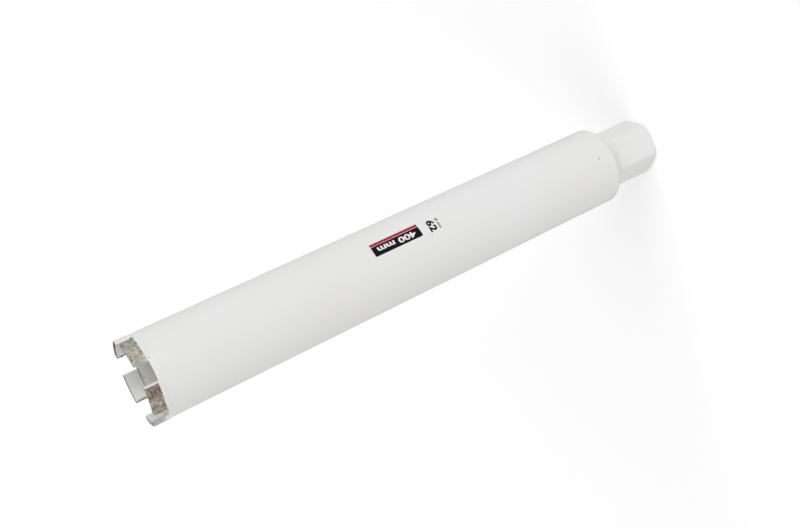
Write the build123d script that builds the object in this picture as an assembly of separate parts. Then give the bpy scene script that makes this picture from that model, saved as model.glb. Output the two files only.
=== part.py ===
from build123d import *
import math
import os

# Diamond core bit for wet drilling, millimetres. It stands on its hub:
# the hub's end face lies at z = 0 and the crown of segments points up +Z.

# Crown
cutting_diameter = 62.0      # outside of the segments, the hole it drills
segment_count = 5
segment_length = 21.0        # across the parallel ends
segment_thickness = 3.3
segment_height = 10.2
segment_edge_break = 0.35    # broken edges of the sintered block

# Barrel
side_clearance = 0.4         # segments stand this far proud of the barrel
barrel_wall = 2.0
drilling_depth = 400.0       # segment tips to the end cap's face

# End cap, welded flush with the barrel
cap_thickness = 6.0
cap_edge_round = 2.5
spigot_length = 5.0          # register inside the barrel
seat_clearance = 0.05        # radial, of each register in its seat
register_lead = 0.8          # chamfer that leads a register in

# Hub
register_diameter = 34.0     # passes through the end cap
collar_diameter = 45.8
collar_length = 8.0
weld_leg = 2.4               # fillet weld between collar and end cap
hexagon_width = 40.0         # across flats
hexagon_length = 40.0
hexagon_corner_diameter = 45.0   # corners turned back to this diameter
hexagon_end_diameter = 37.6      # the chamfered end face
hexagon_end_angle = 30.0         # of that chamfer, from the end face

# Thread seat, 1 1/4" - 7 UNC, bored to its minor diameter
thread_major_diameter = 31.75
thread_minor_diameter = 28.0
thread_length = 35.0         # from the end face, mouth chamfer included
mouth_clearance = 0.4        # mouth radius over the thread's major radius
runout_length = 4.5
runout_clearance = 0.3       # groove radius over the thread's major radius
waterway_diameter = 24.0

# Derived places
cap_face_z = collar_length + hexagon_length
barrel_base_z = cap_face_z + cap_thickness
inner_face_z = barrel_base_z + spigot_length
tip_z = cap_face_z + drilling_depth
rim_z = tip_z - segment_height
outer_radius = cutting_diameter / 2
inner_radius = outer_radius - segment_thickness
barrel_radius = outer_radius - side_clearance
barrel_bore_radius = barrel_radius - barrel_wall
spigot_radius = barrel_bore_radius - seat_clearance
register_radius = register_diameter / 2
collar_radius = collar_diameter / 2
mouth_radius = thread_major_diameter / 2 + mouth_clearance
mouth_depth = mouth_radius - thread_minor_diameter / 2
runout_radius = thread_major_diameter / 2 + runout_clearance


def turned(*outline):
    """Solid of revolution about Z from (radius, height) points."""
    return revolve(make_face(Plane.XZ * Polyline(*outline, close=True)), Axis.Z)


def barrel_tube():
    """Seamless tube, open at the crown, butted on the end cap."""
    ring = Circle(barrel_radius) - Circle(barrel_bore_radius)
    return extrude(Plane.XY.offset(barrel_base_z) * ring, amount=rim_z - barrel_base_z)


def end_cap():
    """Turned disc that closes the barrel: rounded face, spigot and hub seat."""
    seat_radius = register_radius + seat_clearance
    blank = turned(
        (seat_radius, cap_face_z),
        (barrel_radius, cap_face_z),
        (barrel_radius, barrel_base_z),
        (spigot_radius, barrel_base_z),
        (spigot_radius, inner_face_z - register_lead),
        (spigot_radius - register_lead, inner_face_z),
        (seat_radius, inner_face_z),
    )
    face_edges = blank.edges().filter_by(GeomType.CIRCLE).group_by(Axis.Z)[0]
    return fillet(face_edges.sort_by(SortBy.RADIUS)[-1], cap_edge_round)


def hub_weld():
    """Fillet weld in the corner of collar and end cap."""
    return turned(
        (collar_radius, cap_face_z),
        (collar_radius, cap_face_z - weld_leg),
        (collar_radius + weld_leg, cap_face_z),
    )


def hexagon():
    """Spanner hexagon: corners turned back and the end face chamfered."""
    prism = extrude(RegularPolygon(hexagon_width / 2, 6, major_radius=False), amount=hexagon_length)
    corner_radius = hexagon_corner_diameter / 2
    end_radius = hexagon_end_diameter / 2
    rise = (corner_radius - end_radius) * math.tan(math.radians(hexagon_end_angle))
    return prism & turned(
        (0, 0),
        (end_radius, 0),
        (corner_radius, rise),
        (corner_radius, hexagon_length),
        (0, hexagon_length),
    )


def hub_neck():
    """Round collar under the end cap and the register through it."""
    return turned(
        (0, hexagon_length),
        (collar_radius, hexagon_length),
        (collar_radius, cap_face_z),
        (register_radius, cap_face_z),
        (register_radius, inner_face_z - register_lead),
        (register_radius - register_lead, inner_face_z),
        (0, inner_face_z),
    )


def thread_bore():
    """Bore of the hub: mouth chamfer, minor diameter, run-out groove, waterway."""
    minor_radius = thread_minor_diameter / 2
    waterway_radius = waterway_diameter / 2
    groove_end = thread_length + runout_length
    return turned(
        (0, 0),
        (mouth_radius, 0),
        (minor_radius, mouth_depth),
        (minor_radius, thread_length),
        (runout_radius, thread_length),
        (runout_radius, groove_end),
        (waterway_radius, groove_end),
        (waterway_radius, inner_face_z),
        (0, inner_face_z),
    )


def segment(azimuth):
    """Sintered block: curved faces, parallel ends, seated on the barrel's rim."""
    ring = Circle(outer_radius) - Circle(inner_radius)
    window = Pos(outer_radius, 0) * Rectangle(cutting_diameter, segment_length)
    block = extrude(Plane.XY.offset(rim_z) * (ring & window), amount=segment_height)
    free_edges = block.edges() - block.edges().group_by(Axis.Z)[0]
    return Rot(0, 0, azimuth) * chamfer(free_edges, segment_edge_break)


def write(shape, name):
    export_step(shape, f"parts/{name}.step")


os.makedirs("parts", exist_ok=True)
write(barrel_tube(), "barrel_tube")
write(end_cap(), "end_cap")
write(hub_neck() + hexagon() - thread_bore(), "hub")
write(hub_weld(), "hub_weld")
for index in range(segment_count):
    write(segment(index * 360 / segment_count), f"segment_{index + 1}")
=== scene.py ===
import math

import bmesh
import bpy
from mathutils import Euler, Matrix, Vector, noise


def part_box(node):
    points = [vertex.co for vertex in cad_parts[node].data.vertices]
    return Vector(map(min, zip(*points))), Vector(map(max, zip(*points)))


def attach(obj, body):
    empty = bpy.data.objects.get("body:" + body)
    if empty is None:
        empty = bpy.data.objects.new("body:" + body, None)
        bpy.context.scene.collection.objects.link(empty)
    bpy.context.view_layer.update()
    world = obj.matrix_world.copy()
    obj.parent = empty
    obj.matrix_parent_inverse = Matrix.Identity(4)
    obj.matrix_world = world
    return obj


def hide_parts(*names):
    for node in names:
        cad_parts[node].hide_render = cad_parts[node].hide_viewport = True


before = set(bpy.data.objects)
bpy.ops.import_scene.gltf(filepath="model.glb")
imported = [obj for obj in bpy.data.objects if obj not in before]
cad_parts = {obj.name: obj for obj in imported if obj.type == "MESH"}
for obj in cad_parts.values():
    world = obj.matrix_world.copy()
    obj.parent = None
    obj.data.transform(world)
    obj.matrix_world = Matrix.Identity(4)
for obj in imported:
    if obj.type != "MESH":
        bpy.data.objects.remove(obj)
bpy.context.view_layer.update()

mm = 0.001   # scene units are metres


# places read from the frame, so that every piece sits where the solids are

def reachOf(node):   # largest distance of a node's surface from the Z axis
    return max(math.hypot(v.co.x, v.co.y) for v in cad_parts[node].data.vertices)


def azimuthOf(node):   # direction of a node's middle, seen from the Z axis
    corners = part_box(node)
    return math.atan2(corners[0].y + corners[1].y, corners[0].x + corners[1].x)


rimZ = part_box("barrel_tube")[1].z
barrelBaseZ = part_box("barrel_tube")[0].z
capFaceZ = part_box("end_cap")[0].z
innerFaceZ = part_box("end_cap")[1].z
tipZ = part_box("segment_1")[1].z
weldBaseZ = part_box("hub_weld")[0].z
barrelR = reachOf("barrel_tube")
segmentR = reachOf("segment_1")
segmentNodes = sorted(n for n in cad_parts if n.startswith("segment_"))
print("frame read: rim at", round(rimZ / mm, 2), "mm,", len(segmentNodes), "segments")


# small helpers

def linearColour(hexText):   # sRGB hex to the linear RGBA that sockets take
    parts = [int(hexText[i:i + 2], 16) / 255 for i in (1, 3, 5)]
    linear = [p / 12.92 if p <= 0.04045 else ((p + 0.055) / 1.055) ** 2.4 for p in parts]
    return (*linear, 1.0)


def addNode(tree, kind, values=None, links=None, stops=None, **settings):
    # values and links are keyed by input name or number, a link is (node, output), and
    # stops are a ramp's (place, hex colour) pairs, of which it needs two or more
    node = tree.nodes.new(kind)
    for key, value in settings.items():
        setattr(node, key, value)
    for key, value in (values or {}).items():
        node.inputs[key].default_value = value
    for key, (source, output) in (links or {}).items():
        tree.links.new(source.outputs[output], node.inputs[key])
    if stops:
        elements = node.color_ramp.elements
        while len(elements) < len(stops):
            elements.new(0.5)
        for element, (position, colour) in zip(elements, stops):
            element.position, element.color = position, linearColour(colour)
    return node


def newMaterial(name):   # a Principled shader on an output, and the link to the object's coordinates
    material = bpy.data.materials.new(name)
    material.use_nodes = True
    tree = material.node_tree
    tree.nodes.clear()
    shader = addNode(tree, "ShaderNodeBsdfPrincipled")
    addNode(tree, "ShaderNodeOutputMaterial", links={"Surface": (shader, "BSDF")})
    place = (addNode(tree, "ShaderNodeTexCoord"), "Object")
    return material, tree, shader, place


def perMetre(sizeMm):   # texture scale that gives features of a real size
    return 1 / (sizeMm * mm)


def addObject(name, data):   # new object in the scene, whatever it holds
    thing = bpy.data.objects.new(name, data)
    bpy.context.scene.collection.objects.link(thing)
    return thing


def newPiece(name, vertices, faces, materials, faceMaterial=None):
    # smooth mesh, creased where it turns more than 35 degrees, riding on the part
    mesh = bpy.data.meshes.new(name)
    mesh.from_pydata(vertices, [], faces)
    mesh.polygons.foreach_set("use_smooth", [True] * len(mesh.polygons))
    mesh.set_sharp_from_angle(angle=math.radians(35))
    for material in materials:
        mesh.materials.append(material)
    if faceMaterial:
        mesh.polygons.foreach_set("material_index", faceMaterial)
    mesh.update()
    piece = addObject(name, mesh)
    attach(piece, "root")
    return piece


def polarShell(rows, columns):
    # closed shell round Z: rows run up the outside, in over the top, down the inside and out again
    # each row is (radius, height, material number), and a radius may be a function of azimuth
    vertices, faces, faceMaterial = [], [], []
    for radius, height, _ in rows:
        for i in range(columns):
            angle = 2 * math.pi * i / columns
            r = radius(angle) if callable(radius) else radius
            vertices.append((r * math.cos(angle), r * math.sin(angle), height))
    for j, (_, _, number) in enumerate(rows):
        low, high = j * columns, (j + 1) % len(rows) * columns
        for i in range(columns):
            k = (i + 1) % columns
            faces.append((low + i, low + k, high + k, high + i))
            faceMaterial.append(number)
    return vertices, faces, faceMaterial


def roundedRun(centreR, centreZ, radius, fromDegrees, toDegrees, steps, number):
    # arc of a turned profile, as rows for polarShell
    rows = []
    for i in range(steps + 1):
        a = math.radians(fromDegrees + (toDegrees - fromDegrees) * i / steps)
        rows.append((centreR + radius * math.cos(a), centreZ + radius * math.sin(a), number))
    return rows


def softMin(a, b, blend):   # smaller of two lengths, rounded where they cross
    h = max(blend - abs(a - b), 0) / blend
    return min(a, b) - h * h * blend / 4


# camera: beside the crown, looking down the barrel towards the hub

cameraView = {
    "lensMm": 47.207, "sensorMm": 36.0,
    "placeMm": (599.56, 364.54, 550.85),
    "turnDegrees": (-44.182, 55.642, -17.987),
}


def makeCamera():
    data = bpy.data.cameras.new("camera")
    data.lens = cameraView["lensMm"]
    data.sensor_width = cameraView["sensorMm"]
    data.clip_start, data.clip_end = 0.01, 100.0
    camera = addObject("camera", data)
    camera.location = [v * mm for v in cameraView["placeMm"]]
    camera.rotation_euler = Euler([math.radians(v) for v in cameraView["turnDegrees"]], "XYZ")
    bpy.context.scene.camera = camera


makeCamera()
print("camera placed")


# materials

enamel = {
    "white": "#EAEAEA", "warm": "#E8E7E4", "driftMm": 90.0, "roughness": 0.28,
    "peelMm": 2.2, "peelDepthMm": 0.006,
    "speck": "#A8A7A2", "speckMm": 9.0, "speckShare": 0.14, "speckReach": (0.016, 0.03),
    "speckStrength": 0.75,
}


def enamelledSteel():
    # gloss polyester powder enamel baked on steel: white, near mirror-smooth, with faint orange peel
    material, tree, shader, place = newMaterial("powder_coated_enamel_steel")
    drift = addNode(tree, "ShaderNodeTexNoise",
                    {"Scale": perMetre(enamel["driftMm"]), "Detail": 2.0}, {"Vector": place})
    tone = addNode(tree, "ShaderNodeValToRGB", links={"Fac": (drift, "Fac")},
                   stops=[(0.35, enamel["white"]), (0.7, enamel["warm"])])   # thickness tints the white
    cells = addNode(tree, "ShaderNodeTexVoronoi", {"Scale": perMetre(enamel["speckMm"])}, {"Vector": place})
    full, none = enamel["speckReach"]   # share of a cell: dust nibs caught in the coat, 0.3 mm across
    core = addNode(tree, "ShaderNodeMapRange",
                   {"From Min": full, "From Max": none, "To Min": enamel["speckStrength"], "To Max": 0.0},
                   {"Value": (cells, "Distance")})
    pick = addNode(tree, "ShaderNodeSeparateColor", links={"Color": (cells, "Color")})
    chosen = addNode(tree, "ShaderNodeMath", {1: 1 - enamel["speckShare"]}, {0: (pick, "Red")},
                     operation="GREATER_THAN")
    nib = addNode(tree, "ShaderNodeMath", links={0: (core, "Result"), 1: (chosen, "Value")},
                  operation="MULTIPLY")
    colour = addNode(tree, "ShaderNodeMix", {7: linearColour(enamel["speck"])},
                     {"Factor": (nib, "Value"), 6: (tone, "Color")}, data_type="RGBA")
    tree.links.new(colour.outputs[2], shader.inputs["Base Color"])
    peel = addNode(tree, "ShaderNodeTexNoise",
                   {"Scale": perMetre(enamel["peelMm"]), "Detail": 1.0}, {"Vector": place})
    bump = addNode(tree, "ShaderNodeBump", {"Distance": enamel["peelDepthMm"] * mm, "Strength": 1.0},
                   {"Height": (peel, "Fac")})
    tree.links.new(bump.outputs["Normal"], shader.inputs["Normal"])
    shader.inputs["Roughness"].default_value = enamel["roughness"]
    shader.inputs["IOR"].default_value = 1.5
    return material


drawnSteel = {
    "light": "#E8E8E1", "dark": "#D8D7CF", "lineMm": 0.9, "lineLengthMm": 60.0, "lineDepthMm": 0.01,
    "metallic": 0.2, "roughness": 0.45,
}


def drawnSteelTube():
    # cold-drawn steel, uncoated: dull grey with fine lines along the tube and a thin oxide bloom
    material, tree, shader, place = newMaterial("cold_drawn_steel")
    scale = (perMetre(drawnSteel["lineMm"]),) * 2 + (perMetre(drawnSteel["lineLengthMm"]),)
    stretch = addNode(tree, "ShaderNodeMapping", {"Scale": scale}, {"Vector": place})
    lines = addNode(tree, "ShaderNodeTexNoise", {"Scale": 1.0, "Detail": 4.0},
                    {"Vector": (stretch, "Vector")})
    tone = addNode(tree, "ShaderNodeValToRGB", links={"Fac": (lines, "Fac")},
                   stops=[(0.25, drawnSteel["dark"]), (0.75, drawnSteel["light"])])
    tree.links.new(tone.outputs["Color"], shader.inputs["Base Color"])
    bump = addNode(tree, "ShaderNodeBump", {"Distance": drawnSteel["lineDepthMm"] * mm, "Strength": 1.0},
                   {"Height": (lines, "Fac")})
    tree.links.new(bump.outputs["Normal"], shader.inputs["Normal"])
    shader.inputs["Metallic"].default_value = drawnSteel["metallic"]
    shader.inputs["Roughness"].default_value = drawnSteel["roughness"]
    return material


turning = {"groove": "#86867F", "crest": "#B4B3AC", "ringMm": 5.0265, "roughness": 0.38}


def machinedSteel():
    # turned and tapped steel: bright bare metal with broad rings from the tool
    material, tree, shader, place = newMaterial("turned_mild_steel")
    scale = perMetre(turning["ringMm"]) * 2 * math.pi / 20   # the wave texture turns 20 radians per unit
    rings = addNode(tree, "ShaderNodeTexWave", {"Scale": scale, "Distortion": 1.5, "Detail": 2.0},
                    {"Vector": place}, wave_type="BANDS", bands_direction="Z")
    tone = addNode(tree, "ShaderNodeValToRGB", links={"Fac": (rings, "Fac")},
                   stops=[(0.0, turning["groove"]), (1.0, turning["crest"])])
    tree.links.new(tone.outputs["Color"], shader.inputs["Base Color"])
    shader.inputs["Metallic"].default_value = 1.0
    shader.inputs["Roughness"].default_value = turning["roughness"]
    return material


def roundCrown(tree, place, azimuthDegrees, fromMin, fromMax):
    # 0 to 1 across the crown towards one azimuth; it carries painted light and shade on the tips and block
    # sides, and the browner side of the bronze face
    a = math.radians(azimuthDegrees)
    aside = addNode(tree, "ShaderNodeVectorMath",
                    {1: (math.cos(a) / segmentR, math.sin(a) / segmentR, 0)}, {0: place},
                    operation="DOT_PRODUCT")
    return addNode(tree, "ShaderNodeMapRange", {"From Min": fromMin, "From Max": fromMax},
                   {"Value": (aside, "Value")})


lap = {"wanderMm": 1.6, "softMm": 0.15, "outsideMm": (1.6, 0.8), "bareMetallic": 0.35}


def footPaint(tree, place, under, shader):
    # the barrel's coat laps a little way up each block's foot outside, with a ragged edge
    along = addNode(tree, "ShaderNodeSeparateXYZ", links={"Vector": place})
    ragged = addNode(tree, "ShaderNodeTexNoise", {"Scale": perMetre(lap["wanderMm"]), "Detail": 4.0},
                     {"Vector": place})
    wander = addNode(tree, "ShaderNodeMath", {1: lap["wanderMm"] * mm}, {0: (ragged, "Fac")},
                     operation="MULTIPLY")
    level = addNode(tree, "ShaderNodeMath", links={0: (along, "Z"), 1: (wander, "Value")},
                    operation="SUBTRACT")
    soft = lap["softMm"] * mm
    coat = addNode(tree, "ShaderNodeMapRange",
                   {"From Min": rimZ - soft, "From Max": rimZ + soft, "To Min": 1.0, "To Max": 0.0},
                   {"Value": (level, "Value")})
    flat = addNode(tree, "ShaderNodeVectorMath", {1: (1, 1, 0)}, {0: place}, operation="MULTIPLY")
    fromAxis = addNode(tree, "ShaderNodeVectorMath", links={0: (flat, "Vector")}, operation="LENGTH")
    none, full = [barrelR - v * mm for v in lap["outsideMm"]]
    outside = addNode(tree, "ShaderNodeMapRange", {"From Min": none, "From Max": full},
                      {"Value": (fromAxis, "Value")})
    coated = addNode(tree, "ShaderNodeMath", links={0: (coat, "Result"), 1: (outside, "Result")},
                     operation="MULTIPLY")
    colour = addNode(tree, "ShaderNodeMix", {7: linearColour(enamel["white"])},
                     {"Factor": (coated, "Value"), 6: under}, data_type="RGBA")
    tree.links.new(colour.outputs[2], shader.inputs["Base Color"])
    metal = addNode(tree, "ShaderNodeMapRange", {"To Min": lap["bareMetallic"], "To Max": 0.0},
                    {"Value": (coated, "Value")})
    tree.links.new(metal.outputs["Result"], shader.inputs["Metallic"])
    return coated


matrixFace = {
    "browner": ("#665950", "#91857A", "#A89E91", "#C6BDB0"),
    "greyer": ("#737067", "#9B988D", "#B5B1A5", "#D2CEC1"),
    "mottleMm": 2.0, "mottleStops": (0.36, 0.46, 0.53, 0.63), "mottleDepthMm": 0.12,
    "brownerAzimuthDegrees": -35.7, "brownerRange": (-0.1, 0.6),
    "crystal": "#E2DDC0", "gritMm": 1.0, "crystalShare": 0.25, "crystalReach": (0.25, 0.4),
    "crystalStrength": 0.8,
    "smear": ("#62564C", "#7E7268", "#B8B2AA"), "smearStops": (0.38, 0.54, 0.68),
    "smearStrength": (0.25, 0.9), "streakMm": 1.1, "streakStretch": 4.0,
    "roughness": (0.6, 0.3),   # bare and painted
}


def sinteredBronzeMatrix():
    # hot-pressed bronze and cobalt matrix, ground open: brown and straw mottle, diamond grit standing out
    # the grit is 0.35 mm in the real block and is drawn near twice that, so that it shows
    material, tree, shader, place = newMaterial("sintered_bronze_matrix")
    mottle = addNode(tree, "ShaderNodeTexNoise",
                     {"Scale": perMetre(matrixFace["mottleMm"]), "Detail": 6.0, "Roughness": 0.7},
                     {"Vector": place})
    tones = [addNode(tree, "ShaderNodeValToRGB", links={"Fac": (mottle, "Fac")},
                     stops=list(zip(matrixFace["mottleStops"], matrixFace[name])))
             for name in ("greyer", "browner")]
    brownerSide = roundCrown(tree, place, matrixFace["brownerAzimuthDegrees"], *matrixFace["brownerRange"])
    base = addNode(tree, "ShaderNodeMix",   # darker and browner towards one side of the crown
                   links={"Factor": (brownerSide, "Result"), 6: (tones[0], "Color"), 7: (tones[1], "Color")},
                   data_type="RGBA")

    cells = addNode(tree, "ShaderNodeTexVoronoi", {"Scale": perMetre(matrixFace["gritMm"])},
                    {"Vector": place})
    pick = addNode(tree, "ShaderNodeSeparateColor", links={"Color": (cells, "Color")})
    chosen = addNode(tree, "ShaderNodeMath", {1: 1 - matrixFace["crystalShare"]}, {0: (pick, "Red")},
                     operation="GREATER_THAN")
    full, none = matrixFace["crystalReach"]
    strength = matrixFace["crystalStrength"]
    core = addNode(tree, "ShaderNodeMapRange",
                   {"From Min": full, "From Max": none, "To Min": strength, "To Max": 0.0},
                   {"Value": (cells, "Distance")})
    crystal = addNode(tree, "ShaderNodeMath", links={0: (core, "Result"), 1: (chosen, "Value")},
                      operation="MULTIPLY")
    withGrit = addNode(tree, "ShaderNodeMix", {7: linearColour(matrixFace["crystal"])},
                       {"Factor": (crystal, "Value"), 6: (base, 2)}, data_type="RGBA")

    # matrix dragged round the crown near the trailing end, in streaks
    squeeze = addNode(tree, "ShaderNodeMapping", {"Scale": (1 / matrixFace["streakStretch"],) * 2 + (1,)},
                      {"Vector": place})
    streaks = addNode(tree, "ShaderNodeTexNoise",
                      {"Scale": perMetre(matrixFace["streakMm"]), "Detail": 3.0},
                      {"Vector": (squeeze, "Vector")})
    smearTone = addNode(tree, "ShaderNodeValToRGB", links={"Fac": (streaks, "Fac")},
                        stops=list(zip(matrixFace["smearStops"], matrixFace["smear"])))
    band = addNode(tree, "ShaderNodeAttribute", attribute_name="endSmear")
    least, most = matrixFace["smearStrength"]
    byBrownerSide = addNode(tree, "ShaderNodeMapRange", {"To Min": least, "To Max": most},
                     {"Value": (brownerSide, "Result")})
    drag = addNode(tree, "ShaderNodeMath", links={0: (band, "Fac"), 1: (byBrownerSide, "Result")},
                   operation="MULTIPLY")
    smeared = addNode(tree, "ShaderNodeMix",
                      links={"Factor": (drag, "Value"), 6: (withGrit, 2), 7: (smearTone, "Color")},
                      data_type="RGBA")

    coated = footPaint(tree, place, (smeared, 2), shader)
    bare, painted = matrixFace["roughness"]
    rough = addNode(tree, "ShaderNodeMapRange", {"To Min": bare, "To Max": painted},
                    {"Value": (coated, "Value")})
    tree.links.new(rough.outputs["Result"], shader.inputs["Roughness"])
    bump = addNode(tree, "ShaderNodeBump", {"Distance": matrixFace["mottleDepthMm"] * mm, "Strength": 0.8},
                   {"Height": (mottle, "Fac")})
    tree.links.new(bump.outputs["Normal"], shader.inputs["Normal"])
    return material


groundTip = {
    "pit": "#262524", "matrix": "#4E4C48", "crystal": "#7E7B73", "gritMm": 0.7, "gritDepthMm": 0.1,
    "litSide": "#AEACA6", "litSideAzimuthDegrees": -15.0, "litSideRange": (-0.9, 0.1),
    "metallic": 0.4, "roughness": 0.6,
}


def groundTipFace():
    # the cutting tip, dressed on a stone: dark grey matrix with dull crystals and fine pits
    material, tree, shader, place = newMaterial("dressed_cobalt_matrix")
    grain = addNode(tree, "ShaderNodeTexNoise",
                    {"Scale": perMetre(groundTip["gritMm"]), "Detail": 5.0, "Roughness": 0.65},
                    {"Vector": place})
    tone = addNode(tree, "ShaderNodeValToRGB", links={"Fac": (grain, "Fac")},
                   stops=[(0.32, groundTip["pit"]), (0.5, groundTip["matrix"]), (0.74, groundTip["crystal"])])
    # painted light and shade: tips lighter towards azimuth -15 and dark on the crown's far side
    litSide = roundCrown(tree, place, groundTip["litSideAzimuthDegrees"], *groundTip["litSideRange"])
    colour = addNode(tree, "ShaderNodeMix", {7: linearColour(groundTip["litSide"])},
                     {"Factor": (litSide, "Result"), 6: (tone, "Color")}, data_type="RGBA")
    tree.links.new(colour.outputs[2], shader.inputs["Base Color"])
    shader.inputs["Metallic"].default_value = groundTip["metallic"]
    shader.inputs["Roughness"].default_value = groundTip["roughness"]
    bump = addNode(tree, "ShaderNodeBump", {"Distance": groundTip["gritDepthMm"] * mm, "Strength": 0.9},
                   {"Height": (grain, "Fac")})
    tree.links.new(bump.outputs["Normal"], shader.inputs["Normal"])
    return material


pressedFace = {
    "bare": ("#BAB9B5", "#C6C5C1"), "mistedAndLit": ("#F4F4F2", "#FBFBF9"), "grainMm": 1.6, "grainDepthMm": 0.03,
    "paintedShade": "#2C2A28", "paintedShadeLeft": 0.35,   # painted shade along the edges, and the share of it left on the lit side of the crown
    "roughness": 0.42,
}


def pressedSinterFace():
    # sides of the block as they left the graphite mould: smooth silver-grey metal with a fine grain,
    # misted with white paint near the foot, whitened by painted light where they look towards the lit side,
    # and darkened by painted shade along the edges
    material, tree, shader, place = newMaterial("mould_pressed_sinter")
    grain = addNode(tree, "ShaderNodeTexNoise",
                    {"Scale": perMetre(pressedFace["grainMm"]), "Detail": 5.0}, {"Vector": place})
    tones = [addNode(tree, "ShaderNodeValToRGB", links={"Fac": (grain, "Fac")},
                     stops=list(zip((0.3, 0.7), pressedFace[name]))) for name in ("bare", "mistedAndLit")]
    # real paint mist near the foot, and painted light on faces that look towards the lit side
    mistAndLight = addNode(tree, "ShaderNodeAttribute", attribute_name="mistAndPaintedLight")
    tone = addNode(tree, "ShaderNodeMix",
                   links={"Factor": (mistAndLight, "Fac"), 6: (tones[0], "Color"), 7: (tones[1], "Color")},
                   data_type="RGBA")
    # painted shade: darker along the tip, foot and trailing edges, with less of it on the lit side of the
    # crown
    band = addNode(tree, "ShaderNodeAttribute", attribute_name="paintedEdgeShade")
    litSide = roundCrown(tree, place, groundTip["litSideAzimuthDegrees"], *groundTip["litSideRange"])
    left = addNode(tree, "ShaderNodeMapRange", {"To Min": 1.0, "To Max": pressedFace["paintedShadeLeft"]},
                   {"Value": (litSide, "Result")})
    amount = addNode(tree, "ShaderNodeMath", links={0: (band, "Fac"), 1: (left, "Result")},
                     operation="MULTIPLY")
    shaded = addNode(tree, "ShaderNodeMix", {7: linearColour(pressedFace["paintedShade"])},
                     {"Factor": (amount, "Value"), 6: (tone, 2)}, data_type="RGBA")
    footPaint(tree, place, (shaded, 2), shader)
    shader.inputs["Roughness"].default_value = pressedFace["roughness"]
    bump = addNode(tree, "ShaderNodeBump", {"Distance": pressedFace["grainDepthMm"] * mm, "Strength": 0.6},
                   {"Height": (grain, "Fac")})
    tree.links.new(bump.outputs["Normal"], shader.inputs["Normal"])
    return material


oxide = {"dark": "#3A3838", "light": "#686562", "crustMm": 0.3, "metallic": 0.3, "roughness": 0.65}


def weldOxide():
    # blue-black scale left by the heat of the weld: dark, dull and slightly crusty
    material, tree, shader, place = newMaterial("weld_oxide_scale")
    crust = addNode(tree, "ShaderNodeTexNoise", {"Scale": perMetre(oxide["crustMm"]), "Detail": 3.0},
                    {"Vector": place})
    tone = addNode(tree, "ShaderNodeValToRGB", links={"Fac": (crust, "Fac")},
                   stops=[(0.35, oxide["dark"]), (0.7, oxide["light"])])
    tree.links.new(tone.outputs["Color"], shader.inputs["Base Color"])
    shader.inputs["Metallic"].default_value = oxide["metallic"]
    shader.inputs["Roughness"].default_value = oxide["roughness"]
    return material


ink = {
    "black": "#101012", "grey": "#2C2C30", "red": "#B4242F", "white": "#F0F0F0",
    "roughness": 0.5, "sheen": 0.12, "wearMm": 0.4, "wearDepthMm": 0.01,
}


def printInk(colourName):
    # one pass of pad-printing ink: matt and even, rougher than the enamel and with little reflection
    material, tree, shader, place = newMaterial(colourName + "_pad_print_ink")
    shader.inputs["Base Color"].default_value = linearColour(ink[colourName])
    shader.inputs["Roughness"].default_value = ink["roughness"]
    shader.inputs["Specular IOR Level"].default_value = ink["sheen"]
    wear = addNode(tree, "ShaderNodeTexNoise", {"Scale": perMetre(ink["wearMm"]), "Detail": 2.0},
                   {"Vector": place})
    bump = addNode(tree, "ShaderNodeBump", {"Distance": ink["wearDepthMm"] * mm},
                   {"Height": (wear, "Fac")})
    tree.links.new(bump.outputs["Normal"], shader.inputs["Normal"])
    return material


paint = enamelledSteel()
tubeSteel = drawnSteelTube()
turnedSteel = machinedSteel()
grittyFace = sinteredBronzeMatrix()
smoothFace = pressedSinterFace()
tipFace = groundTipFace()
oxideScale = weldOxide()
blackInk, greyInk, redInk, whiteInk = [printInk(name) for name in ("black", "grey", "red", "white")]
print("materials made")


# barrel: painted outside and on the rim, bare steel inside

barrel = {"wallMm": 2.0, "rimRoundMm": 0.3, "columns": 256, "rowStepMm": 4.0}


def makeBarrel():
    soft = barrel["rimRoundMm"] * mm
    boreR = barrelR - barrel["wallMm"] * mm
    steps = round((rimZ - barrelBaseZ) / (barrel["rowStepMm"] * mm))
    heights = [barrelBaseZ + (rimZ - soft - barrelBaseZ) * i / steps for i in range(steps + 1)]
    rows = [(barrelR, z, 0) for z in heights[:-1]]
    rows += roundedRun(barrelR - soft, rimZ - soft, soft, 0, 90, 4, 0)
    rows += roundedRun(boreR + soft, rimZ - soft, soft, 90, 180, 4, 1)
    rows += [(boreR, z, 1) for z in reversed(heights[:-1])]
    vertices, faces, numbers = polarShell(rows, barrel["columns"])
    piece = newPiece("barrel", vertices, faces, [paint, tubeSteel], numbers)
    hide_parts("barrel_tube")


# end cap: turned disc, its outer edge rounded, painted with the barrel

endCap = {
    "edgeRoundMm": 2.5, "edgeMarginMm": 2.0, "seatRadiusMm": 17.05, "spigotRadiusMm": 28.55, "leadMm": 0.8,
    "columns": 256,
}


def makeEndCap():
    edge, lead = endCap["edgeRoundMm"] * mm, endCap["leadMm"] * mm
    seatR, spigotR = endCap["seatRadiusMm"] * mm, endCap["spigotRadiusMm"] * mm
    rows = [(seatR, capFaceZ, 0), (barrelR - edge - endCap["edgeMarginMm"] * mm, capFaceZ, 0)]
    rows += roundedRun(barrelR - edge, capFaceZ + edge, edge, -90, 0, 10, 0)
    rows += [(barrelR, barrelBaseZ, 1), (spigotR, barrelBaseZ, 1), (spigotR, innerFaceZ - lead, 1)]
    rows += [(spigotR - lead, innerFaceZ, 1), (seatR, innerFaceZ, 1)]
    vertices, faces, numbers = polarShell(rows, endCap["columns"])
    piece = newPiece("endCap", vertices, faces, [paint, turnedSteel], numbers)
    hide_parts("end_cap")


# hub: painted hexagon and collar, bare tapped bore

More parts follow.
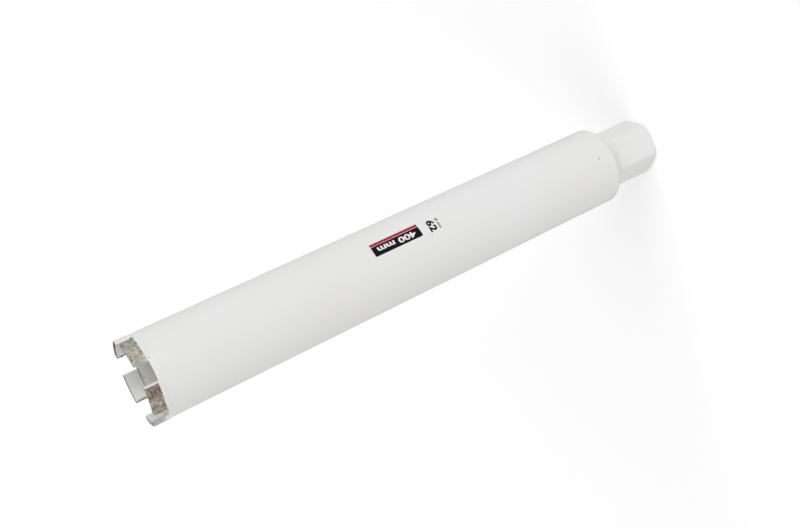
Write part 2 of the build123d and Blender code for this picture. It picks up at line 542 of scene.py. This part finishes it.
hub = {
    "hexagonWidthMm": 40.0, "cornerDiameterMm": 45.0, "endDiameterMm": 37.6, "endAngleDegrees": 30.0,
    "hexagonLengthMm": 40.0, "collarDiameterMm": 45.8, "paintSofteningMm": 1.0, "registerRadiusMm": 17.0,
    "threadMajorMm": 31.75, "threadMinorMm": 28.0, "threadsPerInch": 7, "threadLengthMm": 35.0,
    "mouthClearanceMm": 0.4, "runoutClearanceMm": 0.3, "runoutLengthMm": 4.5, "waterwayRadiusMm": 12.0,
    "endLandMm": 0.5, "coneHeightMm": 4.0, "collarRoundMm": 0.4, "leadMm": 0.8,
    "columns": 240, "rowsPerThread": 20,
}
threadPitch = 25.4 / hub["threadsPerInch"] * mm


def hexagonRadius(angle, z):   # hexagon, turned corners and end cone, blended as a coat of paint blends them
    flat = hub["hexagonWidthMm"] / 2 * mm / math.cos(angle % math.radians(60) - math.radians(30))
    cone = hub["endDiameterMm"] / 2 * mm + z / math.tan(math.radians(hub["endAngleDegrees"]))
    blend = hub["paintSofteningMm"] * mm
    return softMin(softMin(flat, hub["cornerDiameterMm"] / 2 * mm, blend), cone, blend)


def threadRadius(angle, z):   # unified 60 degree thread: crest a quarter of the pitch, root an eighth
    crest, root, flank = 4 / 16, 2 / 16, 5 / 16
    phase = (z / threadPitch - angle / (2 * math.pi)) % 1
    if phase < crest:
        depth = 0
    elif phase < crest + flank:
        depth = (phase - crest) / flank
    elif phase < crest + flank + root:
        depth = 1
    else:
        depth = (1 - phase) / flank
    minorR, majorR = hub["threadMinorMm"] / 2 * mm, hub["threadMajorMm"] / 2 * mm
    mouthR = majorR + hub["mouthClearanceMm"] * mm
    return max(minorR + (majorR - minorR) * depth, mouthR - z)


def makeHub():
    hexLength, collarR = hub["hexagonLengthMm"] * mm, hub["collarDiameterMm"] / 2 * mm
    registerR, waterR = hub["registerRadiusMm"] * mm, hub["waterwayRadiusMm"] * mm
    threadEnd = hub["threadLengthMm"] * mm
    grooveEnd = threadEnd + hub["runoutLengthMm"] * mm
    grooveR = (hub["threadMajorMm"] / 2 + hub["runoutClearanceMm"]) * mm
    landR = (hub["endDiameterMm"] / 2 - hub["endLandMm"]) * mm
    coneTop, soft, lead = hub["coneHeightMm"] * mm, hub["collarRoundMm"] * mm, hub["leadMm"] * mm
    step = 0.1 * mm   # paint turns from the hexagon on to the collar within this height

    def cornerRadius(angle):   # a quarter of the way out from the hexagon to the collar
        flatR = hexagonRadius(angle, hexLength)
        return flatR + 0.25 * (collarR - flatR)

    heights = [coneTop * i / 20 for i in range(21)]
    heights += [coneTop + (hexLength - coneTop) * i / 12 for i in range(1, 13)]
    rows = [(landR, 0, 0)]
    rows += [(lambda a, z=z: hexagonRadius(a, z), z, 0) for z in heights]
    rows += [(cornerRadius, hexLength + step, 0)]
    rows += roundedRun(collarR - soft, hexLength + step + soft, soft, -70, 0, 3, 0)
    rows += [(collarR, weldBaseZ, 0), (collarR, capFaceZ, 0), (registerR, capFaceZ, 1)]
    rows += [(registerR, innerFaceZ - lead, 1), (registerR - lead, innerFaceZ, 1)]
    rows += [(waterR, innerFaceZ, 1), (waterR, grooveEnd, 1)]
    rows += [(grooveR, grooveEnd, 1), (grooveR, threadEnd, 1)]
    count = round(threadEnd / threadPitch * hub["rowsPerThread"])
    heights = [threadEnd * i / count for i in range(count, -1, -1)]
    rows += [(lambda a, z=z: threadRadius(a, z), z, 1) for z in heights]
    vertices, faces, numbers = polarShell(rows, hub["columns"])
    piece = newPiece("hub", vertices, faces, [paint, turnedSteel], numbers)
    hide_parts("hub")


# weld bead round the collar, laid in overlapping ripples and painted over

weldBead = {"legMm": 2.4, "rippleMm": 2.2, "rippleDepthMm": 0.098, "crownMm": 0.015, "columns": 720}


def makeHubWeld():
    leg, collarR = weldBead["legMm"] * mm, hub["collarDiameterMm"] / 2 * mm
    ripples = round(2 * math.pi * collarR / (weldBead["rippleMm"] * mm))

    def beadRadius(turn):   # turn runs 0 on the collar to 1 on the cap, and the ripples lean a little with it
        def atAngle(angle):
            ripple = abs(math.sin(angle * ripples / 2 + 0.35 * math.sin(3 * turn)))
            swell = (weldBead["crownMm"] - weldBead["rippleDepthMm"] * ripple) * mm
            return collarR + leg * turn + math.sin(math.pi * turn) * swell
        return atAngle

    steps, height = 8, capFaceZ - weldBaseZ
    rows = [(beadRadius(i / steps), weldBaseZ + height * i / steps, 0) for i in range(steps + 1)]
    insideR = collarR - 0.1 * mm   # closes the bead inside the collar
    rows += [(insideR, capFaceZ, 0), (insideR, weldBaseZ, 0)]
    vertices, faces, numbers = polarShell(rows, weldBead["columns"])
    piece = newPiece("hubWeld", vertices, faces, [paint], numbers)
    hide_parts("hub_weld")


# diamond segments: a block with parallel ends, curved faces, broken edges and a gritty ground face

segment = {
    "lengthMm": 21.0, "thicknessMm": 3.3, "edgeMm": 0.38, "gridMm": 0.28, "seed": 7,
    "pitDepthMm": 0.13, "gritSizeMm": 0.55, "gritReach": 0.42, "lumpSizeMm": 1.9,
    "chipDepthMm": 0.125, "chipSizeMm": 1.1,
    "ragged": 0.6, "raggedMm": 1.3,   # how unevenly smear and painted edge shade end
    "smearAtMm": 4.5, "smearHalfMm": 4.8, "smearFadeMm": 3.0, "smearTail": 0.7, "smearTailMm": 10.0,
    # painted shade along the tip, foot and trailing edges
    "edgeShadeMm": 0.65, "edgeShadeFadeMm": 0.5, "edgeShadeTip": 0.6, "edgeShadeFoot": 0.6, "edgeShadeTrailing": 1.25,
    # painted light on faces that look towards azimuth 110; real paint mist at the foot
    "paintedLightAzimuthDegrees": 110.0, "mistFoot": 0.8, "mistFootMm": 5.0, "mistAndLightInside": (0.57, 0.27),
}


def gridLine(length, edge, step):   # places along one side, closer together over the rounded edges
    inner = round((length - 2 * edge) / step)
    low = [0, edge * 0.3, edge * 0.65]
    middle = [edge + (length - 2 * edge) * i / inner for i in range(inner + 1)]
    return low + middle + [length - v for v in reversed(low)]


def clamp(value):
    return min(1.0, max(0.0, value))


def pitDepth(point):   # how far the ground face lies under its highest grit
    lumps = noise.noise(point / (segment["lumpSizeMm"] * mm)) * 0.5 + 0.5
    nearest = noise.voronoi(point / (segment["gritSizeMm"] * mm))[0][0]
    grit = max(0.0, 1 - nearest / segment["gritReach"])   # crystals stand out round the middles of the cells
    return segment["pitDepthMm"] * mm * clamp(0.35 + 0.75 * lumps - 0.75 * grit)


def paintedLightOn(normalAzimuth):   # painted light: whiter where a face looks towards one side, the lit side of the crown
    return max(0.0, math.cos(normalAzimuth - math.radians(segment["paintedLightAzimuthDegrees"])))


def smearAt(trailing, ragged):   # 0 to 1, by distance in mm from the trailing end
    band = ragged + (segment["smearHalfMm"] - abs(trailing - segment["smearAtMm"])) / segment["smearFadeMm"]
    tail = segment["smearTail"] * (1 - trailing / segment["smearTailMm"])
    return clamp(max(band, tail))


def paintedEdgeShadeAt(trailing, depth, height, top, ragged):   # painted shade along the edges, by distances in mm
    gaps = (
        (top - height, segment["edgeShadeTip"]),
        (max(height * 1.6, depth), segment["edgeShadeFoot"]),   # inner edge of the foot
        (max(trailing * 0.4, depth), segment["edgeShadeTrailing"]),   # inner edge of the trailing end
    )
    return max(share * clamp(ragged + (segment["edgeShadeMm"] - gap) / segment["edgeShadeFadeMm"])
               for gap, share in gaps)


def mistAndPaintedLightAt(facing, azimuth, height):   # ends whitened by painted light by where they look and by real paint mist thicker at the foot, inner faces less
    foot = segment["mistFoot"] * max(0.0, 1 - height / segment["mistFootMm"])
    end = max(foot, paintedLightOn(azimuth + math.copysign(math.pi / 2, facing.x)))
    least, more = segment["mistAndLightInside"]
    return abs(facing.x) * end + max(0.0, -facing.y) * (least + more * paintedLightOn(azimuth + math.pi))


def makeSegment(node, number):
    azimuth = azimuthOf(node)
    edge, step = segment["edgeMm"] * mm, segment["gridMm"] * mm
    size = (segment["lengthMm"] * mm, segment["thicknessMm"] * mm, tipZ - rimZ)
    lines = [gridLine(side, edge, step) for side in size]
    last = [len(line) - 1 for line in lines]
    vertices, index, faces, numbers = [], {}, [], []
    marks = {"endSmear": [], "paintedEdgeShade": [], "mistAndPaintedLight": []}
    shift = Vector((segment["seed"] + number, 3 * number, 0)) * 0.05   # each block gets its own grit
    cosine, sine = math.cos(azimuth), math.sin(azimuth)

    def vertex(i, j, k):   # number of the point at one place of the grid, made when first asked for
        key = (i, j, k)
        if key in index:
            return index[key]
        raw = Vector((lines[0][i], lines[1][j], lines[2][k]))
        core = Vector([min(max(raw[n], edge), size[n] - edge) for n in range(3)])
        if k <= 3:
            core.z = raw.z   # the foot stays square where it sits on the rim
        out = raw - core
        facing = out.normalized() if out.length > 0 else Vector()
        place = core + facing * edge if out.length > 0 else raw
        across, depth, height = place
        ground, top = max(facing.y, 0.0), max(facing.z, 0.0)
        sink = pitDepth(place + shift) * max(ground, 0.6 * top)   # the tip is dressed finer
        corner = clamp((out.length / edge - 1) * 2)
        chip = max(0.0, noise.noise(place / (segment["chipSizeMm"] * mm) + shift) - 0.25)
        chip *= segment["chipDepthMm"] * mm * corner
        aside = across - size[0] / 2
        r = segmentR - size[1] + depth - (sink + chip) * ground
        x = math.sqrt(r * r - aside ** 2)
        z = rimZ + height - (sink + chip) * top
        ragged = segment["ragged"] * noise.noise(place / (segment["raggedMm"] * mm) + shift)
        trailing = (size[0] - across) / mm
        marks["endSmear"].append(smearAt(trailing, ragged))
        marks["paintedEdgeShade"].append(paintedEdgeShadeAt(trailing, depth / mm, height / mm, size[2] / mm, ragged))
        marks["mistAndPaintedLight"].append(mistAndPaintedLightAt(facing, azimuth, height / mm))
        index[key] = len(vertices)
        vertices.append((x * cosine - aside * sine, x * sine + aside * cosine, z))
        return index[key]

    def side(axis, end, kind):   # faces of one side, with the number of their material
        a, b = [n for n in range(3) if n != axis]
        for p in range(last[a]):
            for q in range(last[b]):
                corners = []
                for dp, dq in ((0, 0), (1, 0), (1, 1), (0, 1)):
                    key = [0, 0, 0]
                    key[axis], key[a], key[b] = (last[axis] if end else 0), p + dp, q + dq
                    corners.append(vertex(*key))
                flip = (axis == 1) == bool(end)
                faces.append(tuple(reversed(corners)) if flip else tuple(corners))
                numbers.append(kind)

    side(1, 1, 0)   # outer face, ground open
    side(2, 1, 2)   # tip
    side(1, 0, 1)   # inner face
    side(0, 0, 1)
    side(0, 1, 1)
    side(2, 0, 1)   # foot
    piece = newPiece("segment" + str(number), vertices, faces, [grittyFace, smoothFace, tipFace],
                     numbers)
    for attribute, values in marks.items():
        piece.data.attributes.new(attribute, "FLOAT", "POINT").data.foreach_set("value", values)
    tidyNormals(piece)
    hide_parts(node)


def tidyNormals(piece):
    form = bmesh.new()
    form.from_mesh(piece.data)
    bmesh.ops.recalc_face_normals(form, faces=form.faces)
    form.to_mesh(piece.data)
    form.free()


# laser weld at each segment's foot, under the barrel's paint

footSeam = {
    "belowMm": 4.5, "aboveMm": 0.7, "waverMm": 0.12, "fadeShare": 0.3, "underTipMm": 0.04, "tuckMm": 0.05,
    "columns": 70, "rows": 24,
}


def makeFootSeams():
    vertices, faces = [], []
    columns, upTo = footSeam["columns"], footSeam["rows"]
    halfAngle = math.asin(segment["lengthMm"] / 2 * mm / segmentR)
    fullRise = segmentR - barrelR - footSeam["underTipMm"] * mm
    low, high = rimZ - footSeam["belowMm"] * mm, rimZ + footSeam["aboveMm"] * mm
    for node in segmentNodes:
        azimuth, start = azimuthOf(node), len(vertices)
        for i in range(columns + 1):
            across = 2 * i / columns - 1
            angle = azimuth + halfAngle * across
            e = min(1.0, (1 - abs(across)) / footSeam["fadeShare"])
            endFade = e * e * (3 - 2 * e)
            for j in range(upTo + 1):
                t = j / upTo
                waver = noise.noise(Vector((angle * 22, t * 2, 0)))   # about every 1.4 mm round the barrel
                waver *= footSeam["waverMm"] * mm
                u = min(1.0, t * 1.2)   # at full height a little before its top
                rise = fullRise * u ** 3 * (10 - 15 * u + 6 * u * u)
                r = barrelR + endFade * rise + waver * 0.3 * math.sin(math.pi * t)
                r = min(r - footSeam["tuckMm"] * mm * (1 - t), segmentR)   # lower edge under the coat
                z = low + (high - low + waver) * t
                vertices.append((r * math.cos(angle), r * math.sin(angle), z))
        for i in range(columns):
            for j in range(upTo):
                a = start + i * (upTo + 1) + j
                b = a + upTo + 1
                faces.append((a, b, b + 1, a + 1))
    newPiece("footSeams", vertices, faces, [paint])


# weld spatter and dirt: two drops inside the crown and two on the paint

spatter = {
    "drops": [   # mm below the rim, azimuth in degrees, mm from the axis, half width and half height in mm
        (1.85, 209.6, 28.6, 0.42, 0.3), (-6.9, 165.8, 27.75, 0.6, 0.45),
        (374.6, 37.5, 30.6, 0.5, 0.22), (1.1, 52.5, 30.8, 0.3, 0.12),
    ],
    "lumpiness": 0.25,
}


def makeSpatter():
    for number, (below, azimuth, fromAxis, width, height) in enumerate(spatter["drops"], 1):
        form = bmesh.new()
        bmesh.ops.create_icosphere(form, subdivisions=3, radius=1)
        angle = math.radians(azimuth)
        outward = Vector((math.cos(angle), math.sin(angle), 0))
        around = Vector((-math.sin(angle), math.cos(angle), 0))
        centre = outward * fromAxis * mm + Vector((0, 0, rimZ - below * mm))
        for v in form.verts:
            swell = 1 + spatter["lumpiness"] * noise.noise(v.co * 1.7 + Vector((number, 0, 0)))
            place = around * v.co.x * width + outward * v.co.z * height + Vector((0, 0, v.co.y * width))
            v.co = centre + place * swell * mm
        bmesh.ops.recalc_face_normals(form, faces=form.faces)
        mesh = bpy.data.meshes.new("spatter")
        form.to_mesh(mesh)
        form.free()
        mesh.polygons.foreach_set("use_smooth", [True] * len(mesh.polygons))
        mesh.materials.append(oxideScale)
        piece = addObject("spatter" + str(number), mesh)
        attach(piece, "root")


# printed size mark: plain figures only

sizeMark = {
    "azimuthDegrees": 52.6, "inkMm": 0.02, "stripMm": 0.7,
    "figures": {"text": "62", "lengthMm": 9.6, "heightMm": 6.1, "boldMm": 0.35, "belowRimMm": 220.4},
    "unit": {"text": "Ø mm", "lengthMm": 8.6, "heightMm": 2.2, "boldMm": 0.07, "belowRimMm": 226.0},
    "panel": {"text": "400 mm", "lengthMm": 32.0, "heightMm": 4.8, "boldMm": 0.22, "belowRimMm": 190.5,
              "fieldLengthMm": 40.0, "fieldWidthMm": 8.0, "cornerMm": 0.8,
              "stripeMm": 2.2, "stripeGapMm": 0.3, "stripeCornerMm": 0.4},
}


def onBarrel(across, along, lift):   # a flat place on the print, wrapped round the barrel
    angle = math.radians(sizeMark["azimuthDegrees"]) - across / barrelR
    r = barrelR + lift
    return (r * math.cos(angle), r * math.sin(angle), rimZ - along)


def textForm(part):   # text as flat faces, brought to its printed length and height
    curve = bpy.data.curves.new("print", "FONT")
    curve.body = part["text"]
    curve.size = part["heightMm"] * 1.4 * mm   # a capital is about 0.7 of the font's size
    curve.offset = part["boldMm"] * mm
    curve.resolution_u = 6
    holder = addObject("print", curve)
    mesh = bpy.data.meshes.new_from_object(holder.evaluated_get(bpy.context.evaluated_depsgraph_get()))
    bpy.data.objects.remove(holder)
    form = bmesh.new()
    form.from_mesh(mesh)
    spans = [(min(v.co[n] for v in form.verts), max(v.co[n] for v in form.verts)) for n in (0, 1)]
    for v in form.verts:
        for n, side in ((0, part["lengthMm"]), (1, part["heightMm"])):
            low, high = spans[n]
            v.co[n] = ((v.co[n] - low) / (high - low) - 0.5) * side * mm
    return form


def cutInStrips(form, width):   # cuts across x, so that flat faces can follow the barrel
    xs = [v.co.x for v in form.verts]
    place = min(xs) + width
    while place < max(xs):
        geometry = form.verts[:] + form.edges[:] + form.faces[:]
        bmesh.ops.bisect_plane(form, geom=geometry, plane_co=(place, 0, 0), plane_no=(1, 0, 0))
        place += width


def printPiece(name, form, material, belowRimMm, turned, lift):
    # turned text reads along the barrel, towards the crown; the rest reads round it
    if turned:
        for v in form.verts:
            v.co.x, v.co.y = v.co.y, -v.co.x
    cutInStrips(form, sizeMark["stripMm"] * mm)
    thickness = sizeMark["inkMm"] * mm
    extruded = bmesh.ops.extrude_face_region(form, geom=form.faces[:])
    for v in extruded["geom"]:
        if isinstance(v, bmesh.types.BMVert):
            v.co.z += thickness
    bmesh.ops.recalc_face_normals(form, faces=form.faces)
    for v in form.verts:
        v.co = onBarrel(v.co.x, belowRimMm * mm + v.co.y, lift + v.co.z)
    mesh = bpy.data.meshes.new(name)
    form.to_mesh(mesh)
    form.free()
    mesh.materials.append(material)
    piece = addObject(name, mesh)
    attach(piece, "root")


def fieldForm(x0, y0, x1, y1, corner):   # flat field with rounded corners
    outline = []
    for cx, cy, start in ((x1 - corner, y1 - corner, 0), (x0 + corner, y1 - corner, 90),
                          (x0 + corner, y0 + corner, 180), (x1 - corner, y0 + corner, 270)):
        for i in range(6):
            a = math.radians(start + 18 * i)
            outline.append((cx + corner * math.cos(a), cy + corner * math.sin(a), 0))
    form = bmesh.new()
    form.faces.new([form.verts.new(point) for point in outline])
    return form


def makeSizeMark():
    figures, unit, panel = sizeMark["figures"], sizeMark["unit"], sizeMark["panel"]
    printPiece("sizeFigures", textForm(figures), blackInk, figures["belowRimMm"], False, 0)
    printPiece("sizeUnit", textForm(unit), greyInk, unit["belowRimMm"], False, 0)
    half, side = panel["fieldLengthMm"] / 2 * mm, panel["fieldWidthMm"] / 2 * mm
    field = fieldForm(-half, -side, half, side, panel["cornerMm"] * mm)
    near = -side - panel["stripeGapMm"] * mm
    stripe = fieldForm(-half, near - panel["stripeMm"] * mm, half, near, panel["stripeCornerMm"] * mm)
    at = panel["belowRimMm"]
    printPiece("panelField", field, blackInk, at, True, 0)
    printPiece("panelStripe", stripe, redInk, at, True, 0)
    printPiece("panelFigures", textForm(panel), whiteInk, at, True, sizeMark["inkMm"] * mm)


makeBarrel()
makeEndCap()
makeHub()
makeHubWeld()
print("barrel, end cap, hub and weld made")
for number, node in enumerate(segmentNodes, 1):
    makeSegment(node, number)
makeFootSeams()
makeSpatter()
print("segments made")
makeSizeMark()
print("print made")


# studio: white floor, soft lamps and even white surroundings

studio = {
    "floorColour": "#D6D6D6", "floorRoughness": 0.9, "floorGlow": 0.45,
    "floorReach": 40.0, "floorDropMm": 0.05, "surround": 0.4,
    "lamps": [   # name, azimuth, elevation, strength and apparent width in degrees
        ("key", 76.0, 25.0, 0.58, 60.0),
        ("fill", -39.0, 25.0, 0.4, 60.0),
    ],
}


def makeStudio():
    scene = bpy.context.scene
    scene.view_settings.view_transform = "Standard"
    floorMesh = bpy.data.meshes.new("floor")
    reach = studio["floorReach"]
    corners = [(-reach, -reach, 0), (reach, -reach, 0), (reach, reach, 0), (-reach, reach, 0)]
    floorMesh.from_pydata(corners, [], [(0, 1, 2, 3)])
    floor = addObject("floor", floorMesh)
    floor.location.z = -studio["floorDropMm"] * mm
    material, tree, shader, _ = newMaterial("matt_white_paper")
    shader.inputs["Base Color"].default_value = linearColour(studio["floorColour"])
    shader.inputs["Roughness"].default_value = studio["floorRoughness"]
    path = addNode(tree, "ShaderNodeLightPath")
    glow = addNode(tree, "ShaderNodeMath", {1: studio["floorGlow"]}, {0: (path, "Is Camera Ray")},
                   operation="MULTIPLY")
    light = addNode(tree, "ShaderNodeEmission", links={"Strength": (glow, "Value")})
    both = addNode(tree, "ShaderNodeAddShader", links={0: (shader, "BSDF"), 1: (light, "Emission")})
    output = [n for n in tree.nodes if n.type == "OUTPUT_MATERIAL"][0]
    tree.links.new(both.outputs["Shader"], output.inputs["Surface"])
    floorMesh.materials.append(material)

    world = bpy.data.worlds.new("surround")
    scene.world = world
    world.use_nodes = True
    sky = world.node_tree
    back = sky.nodes["Background"]
    back.inputs["Color"].default_value = (1, 1, 1, 1)
    path = addNode(sky, "ShaderNodeLightPath")
    seen = addNode(sky, "ShaderNodeMapRange", {"To Min": studio["surround"], "To Max": 1.0},
                   {"Value": (path, "Is Camera Ray")})
    sky.links.new(seen.outputs["Result"], back.inputs["Strength"])

    for name, azimuth, elevation, strength, width in studio["lamps"]:
        lamp = bpy.data.lights.new(name, "SUN")
        lamp.energy, lamp.angle = strength * math.pi, math.radians(width)
        holder = addObject(name, lamp)
        a, e = math.radians(azimuth), math.radians(elevation)
        towards = Vector((math.cos(a) * math.cos(e), math.sin(a) * math.cos(e), math.sin(e)))
        holder.location = towards * 2
        holder.rotation_euler = towards.to_track_quat("Z", "Y").to_euler()


makeStudio()
print("studio made")
